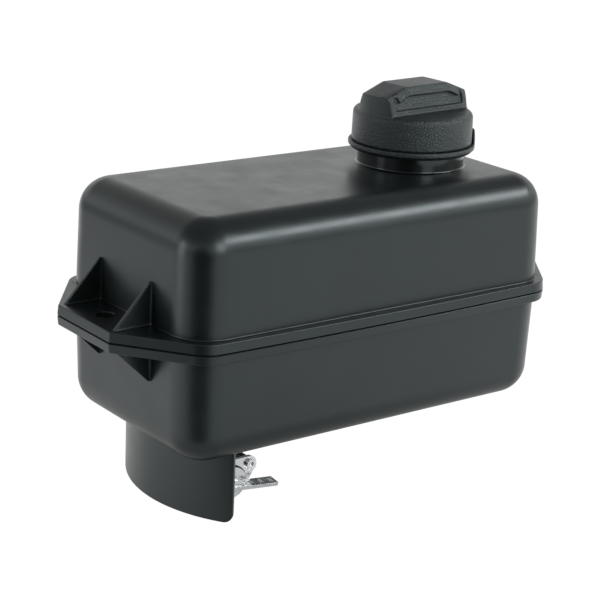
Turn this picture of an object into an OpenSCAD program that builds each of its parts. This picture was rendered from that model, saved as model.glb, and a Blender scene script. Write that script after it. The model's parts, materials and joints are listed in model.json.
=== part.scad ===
// Hydraulic reservoir: two welded half shells with bolt lugs, a screw cap with a breather,
// and a guarded outlet valve with a flat lever.
// Origin: midway between the two lug bolt holes, on the underside of the lugs. +Z is up and
// +X points to the filler end.

/* [Tank] */
// Length of the walls at the weld plane
tank_l = 274; // [240:1:320]
// Width of the walls at the weld plane
tank_w = 147; // [138:1:160]
// Height of the upper half above the weld plane
upper_h = 74; // [60:1:90]
// Depth of the lower half below the weld plane
lower_h = 72.5; // [60:1:90]
// Wall thickness
wall = 3.2; // [2.5:0.1:4]
// Radius of the outer edges and corners
edge_r = 20; // [14:1:24]
// How far a wall leans in for each millimetre of height
draft = 0.021; // [0:0.001:0.03]

/* [Flange and lugs] */
// Thickness of the upper flange
flange_up = 6.5; // [5:0.5:9]
// Thickness of the lower flange
flange_low = 6; // [5:0.5:9]
// Length over the two lug tips
lug_span = 330; // [320:1:345]
// Width of a lug at its tip
lug_tip_w = 59; // [50:1:66]
// Distance between the bolt holes
bolt_span = 300; // [290:0.5:306]
// Diameter of a bolt hole
bolt_d = 11; // [9:0.5:13]
// Height of the upper gussets above the weld plane
gusset_up = 32.5; // [24:0.5:40]
// Depth of the lower gussets below the weld plane
gusset_low = 28.5; // [24:0.5:40]

/* [Filler and cap] */
// Distance of the filler from the middle of the tank
filler_x = 76; // [60:0.5:90]
// Outer diameter of the neck
neck_d = 68.2; // [66:0.1:70]
// Outer diameter of the cap cover
cap_d = 77.2; // [76:0.1:80]
// Direction in which the grip points when the cap is tight
grip_turn = 4; // [-20:1:20]
// Pitch of the cap thread
pitch = 6; // [5:0.5:7]
// Number of slots round the filler strainer
basket_slots = 16; // [8:2:24]

/* [Outlet] */
// Outer radius of the curved shield
shield_r = 95.5; // [90:0.5:100]
// Depth of the shield below the weld plane
shield_low = 116; // [105:1:120]
// Half of the angle that the shield covers
shield_angle = 39; // [30:1:42]
// Bore of the valve
bore_d = 11; // [8:0.5:11]
// Length of the lever from the valve spindle
lever_l = 28.5; // [24:0.5:34]

/* [Hidden] */
$fn = 64;
gap = 0.1;                    // assembly clearance between pieces that nest
seam_z = flange_low;          // height of the weld plane
land = 0.4;                   // how far each half's welding land stands out of its flange
groove = 2;                   // how far the welding land is set back from the flange's edge
bow = 2;                      // how far the long flange sides bulge in the middle
flange_side = 78.2;           // half width of the flange where its corners start
corner_r = 20;                // corner radius of the flange
slant = 36.6;                 // direction in which a lug's slanted side faces, from the X axis
gusset_t = 2.5;

// Heights above the weld plane
neck_rim = 98;
ring_low = 83.6;
ring_high = 88.3;
cover_low = 88.6;
shoulder = 107.5;
grip_top = 126.2;

// Valve: spindle axis along Y, measured from the tank's middle and the weld plane
valve_x = -79;
valve_y = -6;
valve_z = -103;
bonnet_face = -29.5;          // front of the valve's bonnet
plate_t = 2.5;
washer_t = 0.9;
hub_t = 1.2;
plate_face = bonnet_face - plate_t;
hub_face = plate_face - washer_t - hub_t;
lever_w = 8.5;
lever_t = 2.4;
lever_tilt = 6.6;             // how far the lever hangs below level when the valve is shut
screw_dx = 13.8;
screw_dz = 9.1;

// Return port
return_x = -58;
return_y = 40;

BLACK = [0.16, 0.17, 0.17];
RUBBER = [0.08, 0.08, 0.08];
NATURAL = [0.85, 0.84, 0.78];
STEEL = [0.72, 0.73, 0.75];
BRASS = [0.75, 0.62, 0.32];

// ---- Shared shapes ----

// Tube or ring standing on z
module ring(r_out, r_in, z, h) {
    translate([0, 0, z]) difference() {
        cylinder(r = r_out, h = h);
        translate([0, 0, -1]) cylinder(r = r_in, h = h + 2);
    }
}

// Half shell as a closed solid: rounded, leaning in away from the weld plane, towards +Z
module half_solid(inset, h) {
    r = edge_r - inset;
    x0 = tank_l / 2 - inset - r;
    y0 = tank_w / 2 - inset - r;
    top = h - inset - r;
    lean = draft * top;
    hull() for (sx = [-1, 1], sy = [-1, 1]) {
        translate([sx * x0, sy * y0, 0]) cylinder(r = r, h = 0.1, $fn = 32);
        translate([sx * (x0 - lean), sy * (y0 - lean), top]) sphere(r = r, $fn = 32);
    }
}

// Points of a quarter of the flange, from the lug tip to the middle of the long side
function quarter_outline(grow) = let (
    nx = cos(slant), ny = sin(slant),
    tip = [lug_span / 2 + grow, lug_tip_w / 2 + grow * (1 - ny) / nx],
    cy = flange_side - corner_r,
    cx = (lug_span / 2 * nx + lug_tip_w / 2 * ny - corner_r - cy * ny) / nx
) concat(
    [tip],
    [for (a = [slant : 6.675 : 90]) [cx + (corner_r + grow) * cos(a), cy + (corner_r + grow) * sin(a)]],
    [for (i = [5 : -1 : 1]) [cx * i / 6, flange_side + grow + bow * (1 - pow(i / 6, 2))]]
);

module flange_outline(grow = 0) {
    q = quarter_outline(grow);
    n = len(q) - 1;
    mid = [0, flange_side + bow + grow];
    polygon(concat(
        q, [mid],
        [for (i = [n : -1 : 0]) [-q[i].x, q[i].y]],
        [for (i = [0 : n]) [-q[i].x, -q[i].y]],
        [[0, -mid.y]],
        [for (i = [n : -1 : 0]) [q[i].x, -q[i].y]]
    ));
}

module at_lugs() {
    for (s = [-1, 1]) translate([s * bolt_span / 2, 0, 0]) children();
}

// Four triangular gussets on the +Z side of a flange
module gussets(flange_t, gusset_h) {
    inner = tank_l / 2 - 2;
    foot = lug_span / 2 - 4.5;
    for (sx = [-1, 1], sy = [-1, 1])
        translate([0, sy * (lug_tip_w / 2 - 1), 0])
            rotate([90, 0, 0]) translate([0, 0, sy > 0 ? 0 : -gusset_t])
                linear_extrude(gusset_t)
                    polygon([
                        [sx * inner, flange_t - 0.5], [sx * foot, flange_t - 0.5],
                        [sx * foot, flange_t + 1], [sx * (tank_l / 2 - 0.4), gusset_h],
                        [sx * inner, gusset_h]
                    ]);
}

// Flange, walls and gussets of one half, with the bolt holes through it
module half_shell(h, flange_t, gusset_h) {
    difference() {
        union() {
            half_solid(0, h);
            translate([0, 0, land]) linear_extrude(flange_t - land) flange_outline();
            linear_extrude(flange_t / 2) flange_outline(-groove);
            gussets(flange_t, gusset_h);
        }
        half_solid(wall, h);
        at_lugs() translate([0, 0, -1]) cylinder(d = bolt_d, h = h);
    }
}

// Helical ridge of a thread, swept as one solid; r is its root radius
module thread(r, depth, turns, z0) {
    steps = 30;
    n = floor(turns * steps);
    low = 1.6;
    high = 0.8;
    function ring_at(i) = let (
        a = i * 360 / steps,
        fade = min(1, min(i, n - i) / 4),
        z = z0 + pitch * i / steps,
        d = (depth > 0 ? 0.3 : -0.3) + (depth - (depth > 0 ? 0.3 : -0.3)) * fade,
        inner = r - (depth > 0 ? 0.4 : -0.4)
    ) [
        [inner * cos(a), inner * sin(a), z - low],
        [(r + d) * cos(a), (r + d) * sin(a), z - high],
        [(r + d) * cos(a), (r + d) * sin(a), z + high],
        [inner * cos(a), inner * sin(a), z + low]
    ];
    points = [for (i = [0 : n]) each ring_at(i)];
    sides = [for (i = [0 : n - 1], k = [0 : 3]) [4 * i + k, 4 * i + (k + 1) % 4, 4 * i + 4 + (k + 1) % 4, 4 * i + 4 + k]];
    ends = [[0, 3, 2, 1], [4 * n, 4 * n + 1, 4 * n + 2, 4 * n + 3]];
    faces = concat(sides, ends);
    polyhedron(points, depth > 0 ? faces : [for (f = faces) [for (k = [len(f) - 1 : -1 : 0]) f[k]]]);
}

module at_filler() { translate([filler_x, 0, seam_z]) children(); }
module at_valve() { translate([valve_x, valve_y, seam_z + valve_z]) children(); }

// Cylinder along Y from y0 to y1, measured from the tank's middle, round the spindle axis
module spindle_cylinder(r, y0, y1) {
    translate([valve_x, y1, seam_z + valve_z]) rotate([90, 0, 0]) cylinder(r = r, h = y1 - y0);
}

// ---- Tank ----

module upper_shell() {
    color(BLACK) difference() {
        translate([0, 0, seam_z]) half_shell(upper_h, flange_up, gusset_up);
        at_filler() translate([0, 0, upper_h - 10]) cylinder(d = neck_d - 6, h = 20);
    }
}

module lower_shell() {
    boss_h = 12;
    color(BLACK) translate([0, 0, seam_z]) difference() {
        union() {
            mirror([0, 0, 1]) half_shell(lower_h, flange_low, gusset_low);
            for (p = [[valve_x, valve_y, 17], [return_x, return_y, 14]])
                translate([p.x, p.y, -lower_h - boss_h]) cylinder(r = p[2], h = boss_h + 1);
            baffle_guides();
        }
        for (p = [[valve_x, valve_y, 12], [return_x, return_y, 9]])
            translate([p.x, p.y, -lower_h - boss_h - 1]) cylinder(r = p[2] + gap, h = 30);
    }
}

// Pairs of upright ribs inside the long walls that hold the baffle
module baffle_guides() {
    for (sy = [-1, 1], dx = [-4, 4])
        translate([dx - 1.25, sy > 0 ? tank_w / 2 - 11 : -tank_w / 2 + 1.5, -50])
            cube([2.5, 9.5, 48]);
}

module outlet_shield() {
    inner = shield_r - 3.5;
    top = lower_h - 8;
    tall = shield_low - top;
    mouth = 2 * shield_r * sin(shield_angle);
    corner = 6;
    color(BLACK) translate([0, 0, seam_z]) difference() {
        intersection() {
            translate([-22.6, 0, -shield_low]) difference() {
                cylinder(r = shield_r, h = tall, $fn = 128);
                translate([0, 0, -1]) cylinder(r = inner, h = tall + 2, $fn = 128);
                translate([-shield_r * cos(shield_angle), -shield_r, -1]) cube([3 * shield_r, 2 * shield_r, tall + 2]);
            }
            // rounded lower corners of the two free edges
            translate([-shield_r - 40, 0, 0]) rotate([90, 0, 90]) linear_extrude(80) union() {
                translate([-mouth / 2 + corner, -shield_low]) square([mouth - 2 * corner, tall]);
                translate([-mouth / 2, -shield_low + corner]) square([mouth, tall - corner]);
                for (s = [-1, 1]) translate([s * (mouth / 2 - corner), -shield_low + corner]) circle(r = corner);
            }
        }
        mirror([0, 0, 1]) half_solid(0, lower_h);
    }
}

module baffle_plate() {
    t = 3;
    half = tank_w / 2 - wall - 2;
    color(BLACK) translate([0, 0, seam_z]) rotate([90, 0, 90]) translate([0, 0, -t / 2]) linear_extrude(t)
        difference() {
            union() {
                translate([-half + 1, -50]) square([2 * half - 2, 92]);
                translate([-half + 17, -lower_h + wall + 1]) square([2 * half - 34, 30]);
            }
            for (y = [-40, 0, 40], z = [-30, 15]) translate([y, z]) circle(r = 9);
            for (y = [-20, 20]) translate([y, -58]) circle(r = 6);
        }
}

module suction_strainer() {
    floor_z = -lower_h + wall;
    color(NATURAL) translate([valve_x, valve_y, seam_z]) difference() {
        union() {
            ring(18, 12 + 2 * gap, floor_z + 0.3, 5);
            ring(15, 13.8, floor_z + 4.3, 42);
            translate([0, 0, floor_z + 45.3]) cylinder(r = 16, h = 3);
        }
        for (a = [0 : 30 : 150]) rotate(a)
            for (z = [0 : 2]) translate([-20, -2.2, floor_z + 8 + 12.5 * z]) cube([40, 4.4, 10]);
    }
}

// ---- Filler ----

module filler_neck() {
    r = neck_d / 2;
    color(RUBBER) at_filler() union() {
        difference() {
            union() {
                translate([0, 0, upper_h - 8]) cylinder(r = r - 3 - gap, h = 8.5);
                translate([0, 0, upper_h]) cylinder(r = r, h = 12);
                translate([0, 0, upper_h + 11.9]) cylinder(r = r - 1.6, h = neck_rim - upper_h - 11.9);
            }
            translate([0, 0, upper_h - 9]) cylinder(r = r - 5.5, h = 60);
            translate([0, 0, neck_rim - 1.3]) cylinder(r = r - 4, h = 5);
        }
        thread(r - 1.6, 1.6, 1.1, neck_rim - 8.5);
    }
}

module strainer_basket() {
    r = neck_d / 2 - 5.5 - 0.4;
    low = 50;
    color(NATURAL) at_filler() difference() {
        union() {
            ring(r + 1.7, r - 1.2, neck_rim - 1.2, 1.2);
            ring(r, r - 1.2, low, neck_rim - 1.2 - low);
            translate([0, 0, low]) cylinder(r = r - 0.5, h = 1.5);
        }
        for (i = [0 : basket_slots / 2 - 1]) rotate(i * 360 / basket_slots)
            for (z = [0 : 2]) translate([-r - 5, -2.6, low + 5 + 13 * z]) cube([2 * r + 10, 5.2, 10]);
    }
}

module tether_ring() {
    r_in = 36.9;
    r_out = 40.6;
    tab_at = -25;
    color(BLACK) at_filler() union() {
        rotate_extrude() polygon([
            [r_in, ring_low], [39, ring_low], [r_out, ring_low + 1.8], [r_out, ring_high - 0.4],
            [r_out - 0.4, ring_high], [r_in, ring_high], [r_in, ring_low + 3],
            [r_in + 0.6, ring_low + 2.4], [r_in + 0.6, ring_low + 0.6], [r_in, ring_low + 0.4]
        ]);
        // upright tab that leans on the cap's side
        intersection() {
            ring(r_out, 39.1, ring_high - 1, 20);
            rotate(tab_at) rotate([90, 0, 90]) linear_extrude(60)
                polygon([[-13, 80], [13, 80], [13, 88], [6, 95.5], [4, 96.5], [-4, 96.5], [-6, 95.5], [-13, 88]]);
        }
    }
}

// ---- Cap ----

// Grip across the cap: steep sides, sloping ends and a flat top
module grip_block(inset) {
    rotate(grip_turn) hull() {
        translate([-34.5 + inset, -15 + inset, shoulder - 3]) cube([69 - 2 * inset, 30 - 2 * inset, 0.5]);
        translate([-34 + inset, -14 + inset, 119.5 - inset]) cube([68 - 2 * inset, 28 - 2 * inset, 0.5]);
        translate([-17.5 + inset / 2, -11 + inset / 2, grip_top - 0.5 - inset])
            cube([35 - inset, 22 - inset, 0.5]);
    }
}

module cap_cover() {
    r = cap_d / 2;
    round_r = 3;
    color(BLACK) at_filler() difference() {
        union() {
            rotate_extrude() difference() {
                union() {
                    translate([0, cover_low]) square([r, shoulder - round_r - cover_low]);
                    translate([0, shoulder - round_r - 1]) square([r - round_r, round_r + 1]);
                    translate([r - round_r, shoulder - round_r]) circle(r = round_r);
                }
                translate([-10, cover_low - 1]) square([10, 60]);
            }
            grip_block(0);
        }
        translate([0, 0, cover_low - 1]) cylinder(r = r - 2, h = 105.6 - cover_low + 1);
        grip_block(2.2);
        // finger scoops on both sides of the grip
        for (s = [0, 180]) rotate(s + grip_turn) translate([0, -15, 0]) hull() for (x = [-22, 22])
            translate([x, 0, 115]) rotate([90, 0, 0]) cylinder(r = 3, h = 2, center = true, $fn = 24);
    }
}

module cap_body() {
    r_out = cap_d / 2 - 2 - gap;
    r_in = 34.8;
    color(BLACK) at_filler() union() {
        difference() {
            union() {
                translate([0, 0, 84.1]) cylinder(r = r_out, h = 21.4);
                ring(r_out + 0.7, r_out - 1, 84.3, 1.2);
            }
            translate([0, 0, 83]) cylinder(r = r_in, h = 20.4);
            translate([0, 0, 100]) cylinder(r = 7.3, h = 10);
        }
        thread(r_in, -1.4, 1.05, neck_rim - 8.5 + pitch / 2);
    }
}

module seal_plate() {
    color(NATURAL) at_filler() difference() {
        union() {
            translate([0, 0, neck_rim + 2.3]) cylinder(r = 32.6, h = 2.6);
            translate([0, 0, neck_rim + 4]) cylinder(r = 7.25, h = 8);
        }
        translate([0, 0, neck_rim]) cylinder(r = 3, h = 20);
        translate([0, 0, neck_rim + 4.9]) cylinder(r = 4.6, h = 20);
        ring(10, 6.1, neck_rim + 7.7, 1.4);
    }
}

module cap_gasket() { color(RUBBER) at_filler() ring(32.4, 29.2, neck_rim + 0.1, 2.2); }

module swivel_clip() {
    color(STEEL) at_filler() difference() {
        ring(9.2, 6.2, neck_rim + 7.8, 1.2);
        translate([4, -2, neck_rim + 6]) cube([12, 4, 5]);
    }
}

module breather_poppet() {
    color(BRASS) at_filler() union() {
        translate([0, 0, neck_rim + 5]) cylinder(r = 4.1, h = 1.5);
        translate([0, 0, neck_rim + 6]) cylinder(r = 1.4, h = 7.5);
    }
}

// Coil of round wire between the poppet's head and the retainer
module breather_spring() {
    wire = 0.35;
    coil_r = 2.6;
    turns = 4;
    steps = 16;
    sides = 8;
    z0 = neck_rim + 6.9;
    rise = 2.9;
    n = turns * steps;
    points = [for (i = [0 : n], k = [0 : sides - 1]) let (
        a = i * 360 / steps, b = k * 360 / sides, r = coil_r + wire * cos(b)
    ) [r * cos(a), r * sin(a), z0 + rise * i / n + wire * sin(b)]];
    side_faces = [for (i = [0 : n - 1], k = [0 : sides - 1]) let (j = (k + 1) % sides)
        [sides * i + k, sides * (i + 1) + k, sides * (i + 1) + j, sides * i + j]];
    color(STEEL) at_filler() polyhedron(points, concat(
        side_faces, [[for (k = [0 : sides - 1]) k]], [[for (k = [sides - 1 : -1 : 0]) sides * n + k]]
    ));
}

module breather_retainer() {
    color(BRASS) at_filler() difference() {
        union() {
            translate([0, 0, neck_rim + 10.4]) cylinder(r = 4.5, h = 1.6);
            translate([0, 0, neck_rim + 12]) cylinder(r = 6, h = 0.8);
        }
        translate([0, 0, neck_rim + 9]) cylinder(r = 1.7, h = 10);
        for (a = [0 : 60 : 300]) rotate(a) translate([3.1, 0, neck_rim + 9]) cylinder(r = 0.7, h = 10, $fn = 24);
    }
}

// ---- Outlet and valve ----

module outlet_insert() {
    color(BRASS) translate([valve_x, valve_y, seam_z]) difference() {
        union() {
            translate([0, 0, -lower_h - 12]) cylinder(r = 12, h = 19);
            translate([0, 0, -lower_h - 14]) cylinder(r = 14, h = 2);
        }
        translate([0, 0, -lower_h - 15]) cylinder(r = 8.3, h = 30);
    }
}

module outlet_washer() {
    color(STEEL) translate([valve_x, valve_y, seam_z]) ring(13, 8.6, -lower_h - 15.5, 1.5);
}

module valve_body() {
    bore = bore_d / 2;
    top = -lower_h - 15.5 - valve_z;
    bonnet = 9.1;
    color(RUBBER) difference() {
        union() {
            at_valve() translate([0, 0, -12]) cylinder(r = 12.5, h = 26);
            at_valve() translate([-bonnet, bonnet_face - valve_y, -11])
                cube([2 * bonnet, valve_y - bonnet_face, 25]);
            at_valve() translate([0, 0, 13]) cylinder(r = 11, h = top - 13);
            at_valve() translate([0, 0, 13]) cylinder(r = 8.2, h = top - 13 + 18);
            at_plate_screws() cylinder(r = 3.6, h = 9.5);
            at_valve() translate([-screw_dx, bonnet_face - valve_y, screw_dz - 3.2])
                cube([2 * screw_dx, 6, 6.4]);
        }
        at_valve() translate([0, 0, -13]) cylinder(r = 9.3, h = 21.6);
        at_valve() cylinder(r = bore, h = 60);
        spindle_cylinder(4 + gap / 2, bonnet_face - 5, valve_y);
        spindle_cylinder(6.4, bonnet_face - 5, bonnet_face + 3.2);
        at_plate_screws() translate([0, 0, -1]) cylinder(r = 2, h = 10);
    }
}

// The two screw places, with +Z pointing into the bonnet
module at_plate_screws() {
    for (s = [-1, 1])
        translate([valve_x + s * screw_dx, bonnet_face, seam_z + valve_z + screw_dz])
            rotate([-90, 0, 0]) children();
}

module ball_seats() {
    color(NATURAL) at_valve() for (s = [0, 180]) rotate([s, 0, 0]) difference() {
        translate([0, 0, 4.6]) cylinder(r = 9.2, h = 4);
        translate([0, 0, 4]) cylinder(r = bore_d / 2, h = 6);
        sphere(r = 8.2);
    }
}

// Ball with its bore across the flow, and a slot for the spindle's tongue
module valve_ball() {
    color(STEEL) at_valve() difference() {
        rotate([0, 90, 0]) rotate(90) rotate_extrude() difference() {
            circle(r = 8);
            translate([-9, -9]) square([9 + bore_d / 2, 18]);
        }
        translate([-10, -9, -1.6]) cube([20, 2.9, 3.2]);
    }
}

module valve_stem() {
    color(STEEL) difference() {
        union() {
            spindle_cylinder(4, hub_face - 6, valve_y - 8.3);
            at_valve() translate([-3.4, -8.5, -1.5]) cube([6.8, 2.3, 3]);
        }
        at_lever() translate([-20, -lever_w - 1, -lever_t / 2]) cube([40, lever_w + 1, lever_t]);
        at_lever() translate([0, -3.4, -10]) cylinder(r = 1, h = 20);
    }
}

module stem_seal() {
    color(RUBBER) translate([valve_x, bonnet_face + 1.6, seam_z + valve_z]) rotate([90, 0, 0])
        rotate_extrude() translate([5.25, 0]) circle(r = 1, $fn = 24);
}

// Bonnet plate: two screw ears over a round foot, with a hole for the spindle
module valve_plate() {
    color(STEEL) translate([valve_x, bonnet_face, seam_z + valve_z]) rotate([90, 0, 0]) difference() {
        linear_extrude(plate_t) hull() {
            for (s = [-1, 1]) translate([s * screw_dx, screw_dz]) circle(r = 5, $fn = 32);
            translate([0, 1.5]) circle(r = 12.4, $fn = 48);
        }
        translate([0, 0, -1]) cylinder(r = 4.2, h = plate_t + 2);
        for (s = [-1, 1]) translate([s * screw_dx, screw_dz, -1]) cylinder(r = 2.2, h = plate_t + 2);
    }
}

module plate_screws() {
    color(STEEL) at_plate_screws() difference() {
        union() {
            translate([0, 0, -plate_t - 2.2]) cylinder(r = 3.5, h = 2.2);
            translate([0, 0, -plate_t - 0.5]) cylinder(r = 1.95, h = plate_t + 9);
        }
        translate([0, 0, -plate_t - 3]) cylinder(r = 1.6, h = 2.2, $fn = 6);
    }
}

module thrust_washer() {
    color(RUBBER) translate([valve_x, plate_face, seam_z + valve_z]) rotate([90, 0, 0])
        ring(10.8, 4.2, 0, washer_t);
}

// Round steel hub pressed on the spindle
module lever_hub() {
    color(STEEL) difference() {
        spindle_cylinder(10, hub_face, hub_face + hub_t);
        spindle_cylinder(4.02, hub_face - 1, hub_face + hub_t + 1);
    }
}

// Places what lies on the hub's face, turned with the lever
module at_lever() {
    translate([valve_x, hub_face, seam_z + valve_z]) rotate([0, lever_tilt, 0]) children();
}

// Flat lever with its broad face across the hub, and a row of slots for a pull rod
module lever_bar() {
    tail = 5;
    color(STEEL) at_lever() difference() {
        translate([-tail, -lever_w, -lever_t / 2]) cube([lever_l + tail, lever_w, lever_t]);
        for (i = [0 : 2]) translate([lever_l - 3.4 - 7.4 * i, -lever_w / 2, 0]) cube([3, 4, 10], center = true);
        translate([0, -3.4, -10]) cylinder(r = 1, h = 20);
    }
}

module lever_pin() {
    color(STEEL) at_lever() translate([0, -3.4, -4.2]) cylinder(r = 1, h = 8.4);
}

// Screws into the underside of the valve and closes it, with a spigot for the hose
module hose_nipple() {
    color(BRASS) at_valve() difference() {
        union() {
            translate([0, 0, -12]) cylinder(r = 9.2, h = 3.3);
            translate([0, 0, -16]) cylinder(r = 11, h = 4, $fn = 6);
            translate([0, 0, -30]) cylinder(r = 8, h = 15);
        }
        translate([0, 0, -32]) cylinder(r = bore_d / 2, h = 30);
    }
}

module return_nipple() {
    color(BRASS) translate([return_x, return_y, seam_z - lower_h]) difference() {
        union() {
            translate([0, 0, -12]) cylinder(r = 9, h = 22);
            translate([0, 0, -18.5]) cylinder(r = 12, h = 5, $fn = 6);
            translate([0, 0, -36]) cylinder(r = 8, h = 24.5);
        }
        translate([0, 0, -37]) cylinder(r = 5.5, h = 50);
    }
}

module return_washer() {
    color(STEEL) translate([return_x, return_y, seam_z - lower_h]) ring(12, 8.2, -13.5, 1.5);
}

// Standpipe inside the tank, closed on top, that lets the oil back in sideways
module return_pipe() {
    color(NATURAL) translate([return_x, return_y, seam_z - lower_h]) difference() {
        union() {
            ring(12, 9 + gap, wall + 0.3, 7);
            ring(11, 9 + gap, wall + 5, 5);
            ring(11, 9, wall + 9, 48);
            translate([0, 0, wall + 55]) cylinder(r = 11, h = 2);
        }
        for (a = [0, 60, 120], z = [0 : 3]) rotate(a) translate([-15, -1.5, wall + 16 + 9 * z]) cube([30, 3, 5]);
    }
}

upper_shell();
lower_shell();
filler_neck();
strainer_basket();
tether_ring();
cap_cover();
cap_body();
seal_plate();
cap_gasket();
swivel_clip();
breather_poppet();
breather_spring();
breather_retainer();
outlet_shield();
baffle_plate();
suction_strainer();
outlet_insert();
outlet_washer();
valve_body();
ball_seats();
valve_ball();
valve_stem();
stem_seal();
valve_plate();
plate_screws();
thrust_washer();
lever_hub();
lever_bar();
lever_pin();
hose_nipple();
return_nipple();
return_washer();
return_pipe();
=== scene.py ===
# Looks for a hydraulic oil tank: moulded half shells, a vented screw cap and a shielded valve.
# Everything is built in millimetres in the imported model's own frame, and turned to metres where
# a mesh is made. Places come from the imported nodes' boxes, and the sizes below give the shapes.
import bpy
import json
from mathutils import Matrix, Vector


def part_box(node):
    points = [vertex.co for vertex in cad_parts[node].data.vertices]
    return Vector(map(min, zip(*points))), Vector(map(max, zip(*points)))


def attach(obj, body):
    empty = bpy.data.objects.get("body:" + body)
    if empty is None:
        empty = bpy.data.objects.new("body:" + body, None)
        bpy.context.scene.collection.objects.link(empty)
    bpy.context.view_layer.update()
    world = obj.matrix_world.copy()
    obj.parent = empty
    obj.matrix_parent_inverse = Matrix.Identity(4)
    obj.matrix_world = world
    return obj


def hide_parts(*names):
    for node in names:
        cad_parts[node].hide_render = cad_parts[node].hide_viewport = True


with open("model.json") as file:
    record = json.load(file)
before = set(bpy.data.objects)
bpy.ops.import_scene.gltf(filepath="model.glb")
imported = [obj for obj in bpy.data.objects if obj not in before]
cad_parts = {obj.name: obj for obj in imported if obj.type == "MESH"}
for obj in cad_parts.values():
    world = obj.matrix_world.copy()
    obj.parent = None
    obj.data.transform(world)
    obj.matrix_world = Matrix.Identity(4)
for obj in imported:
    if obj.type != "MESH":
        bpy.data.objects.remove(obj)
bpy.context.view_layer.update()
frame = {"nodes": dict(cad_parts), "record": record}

import json
import math

import bmesh
import bpy
from mathutils import Matrix, Vector

MM = 0.001


# ---- Places from the frame, in millimetres ----

def box_mm(node):
    """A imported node's lowest and highest corners."""
    low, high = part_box(node)
    return [v / MM for v in low], [v / MM for v in high]


def middle(node):
    """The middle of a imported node's box."""
    low, high = box_mm(node)
    return [(a + b) / 2 for a, b in zip(low, high)]


SEAM_Z = box_mm("upper_shell")[0][2]
LUG_TIP_X = box_mm("upper_shell")[1][0]
FILLER_X, FILLER_Y, _ = middle("filler_neck")
COVER_LOW = box_mm("cap_cover")[0][2]
COVER_TOP = box_mm("cap_cover")[1][2]
RING_LOW = box_mm("tether_ring")[0][2]
VALVE_X, VALVE_Y, _ = middle("valve_ball")
RETURN_X, RETURN_Y, _ = middle("return_nipple")
SHIELD_LOW = box_mm("outlet_shield")[0][2]
SHIELD_LEFT = box_mm("outlet_shield")[0][0]
LOWEST = box_mm("hose_nipple")[0][2]


# ---- Tank sizes, in millimetres unless they say otherwise ----

TANK_L = 274        # walls at the weld
TANK_W = 147
UPPER_H = 74        # upper half above the weld
LOWER_H = 72.5      # lower half below it
WALL = 3.2
DRAFT = 0.021       # a wall leans in by this for each millimetre away from the weld
EDGE_R = 20         # edges of the top and the bottom
CORNER_R = 23       # upright corners
FOOT_R = 0.8        # fillet where a wall meets its flange
FLANGE_UP = 6.5     # thickness above the weld
FLANGE_LOW = 6      # and below it
FLANGE_LEAN = 0.45  # the flange's side leans in by this much away from the weld
FLANGE_HALF_W = 78.2
FLANGE_CORNER_R = 20
FLANGE_BOW = 2      # the long sides bow out by this at the middle
FLANGE_LIP = 0.6    # rounded outer edge
LAND = 0.4          # height of the welding land
LAND_BREAK = 0.3    # its broken edge
GROOVE = 2          # depth of the groove between the flanges
LUG_HALF_W = 29.5
LUG_CORNER_R = 1.5
SLANT = math.radians(36.6)      # the way the lug's slanted side faces
BOLT_X = 150
BOLT_R = 5.5
GUSSET_T = 2.6
GUSSET_UP = 32.5    # from the weld to a gusset's tip
GUSSET_LOW = 28.5
GUSSET_FOOT = 4.5   # from the lug's tip to the gusset's toe
NECK_HOLE_R = 31.1
OUTLET_BOSS_R = 17
OUTLET_BORE_R = 12.1
RETURN_BOSS_R = 14
RETURN_BORE_R = 9.1
BAR_ROLL = 6        # degrees the lever bar is rolled about its length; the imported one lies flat

# Points in each stretch of a quarter outline: lug, its corner, slanted side, bend, long side
STRETCHES = (9, 6, 9, 18, 20)


# ---- Making meshes ----

def arc(cx, cy, radius, start, end, steps):
    """Points round a centre from one angle to another, in degrees."""
    turns = [math.radians(start + (end - start) * i / steps) for i in range(steps + 1)]
    return [(cx + radius * math.cos(a), cy + radius * math.sin(a)) for a in turns]


def spread(start, end, steps):
    """Even values from start towards end, with the end left out."""
    return [start + (end - start) * i / steps for i in range(steps)]


def set_out(name, data):
    """A new object in the scene, at the origin, with this mesh, camera or light."""
    made = bpy.data.objects.new(name, data)
    bpy.context.scene.collection.objects.link(made)
    return made


def mesh_piece(name, corners, faces):
    """A closed piece from its corners and faces, facing outwards."""
    mesh = bpy.data.meshes.new(name)
    mesh.from_pydata([Vector(corner) * MM for corner in corners], [], faces)
    piece = set_out(name, mesh)
    face_outwards(piece)
    return piece


def face_outwards(piece):
    """Merges doubled points, then turns every face of the closed surface outwards."""
    bm = bmesh.new()
    bm.from_mesh(piece.data)
    bmesh.ops.remove_doubles(bm, verts=bm.verts, dist=1e-6)
    bmesh.ops.recalc_face_normals(bm, faces=bm.faces)
    bm.to_mesh(piece.data)
    bm.free()


def skin(name, rings, looped=False):
    """Closed surface over rings of points; a ring of one point is a tip."""
    starts = [0]
    for ring in rings:
        starts.append(starts[-1] + len(ring))
    pairs = list(zip(range(len(rings)), range(1, len(rings))))
    if looped:
        pairs.append((len(rings) - 1, 0))
    faces = []
    for a, b in pairs:
        size_a, size_b = len(rings[a]), len(rings[b])
        count = max(size_a, size_b)
        for i in range(count):
            j = (i + 1) % count
            loop = [starts[a] + i % size_a, starts[a] + j % size_a,
                    starts[b] + j % size_b, starts[b] + i % size_b]
            faces.append(list(dict.fromkeys(loop)))
    return mesh_piece(name, [point for ring in rings for point in ring], faces)


def slab(name, near, far):
    """A closed slab between two outlines that have as many points as each other."""
    count = len(near)
    faces = [list(range(count)), list(range(2 * count - 1, count - 1, -1))]
    faces += [[i, (i + 1) % count, count + (i + 1) % count, count + i] for i in range(count)]
    return mesh_piece(name, near + far, faces)


def centre_of(ring):
    """The middle of a ring of points, as a ring of one."""
    return [tuple(sum(values) / len(ring) for values in zip(*ring))]


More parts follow.
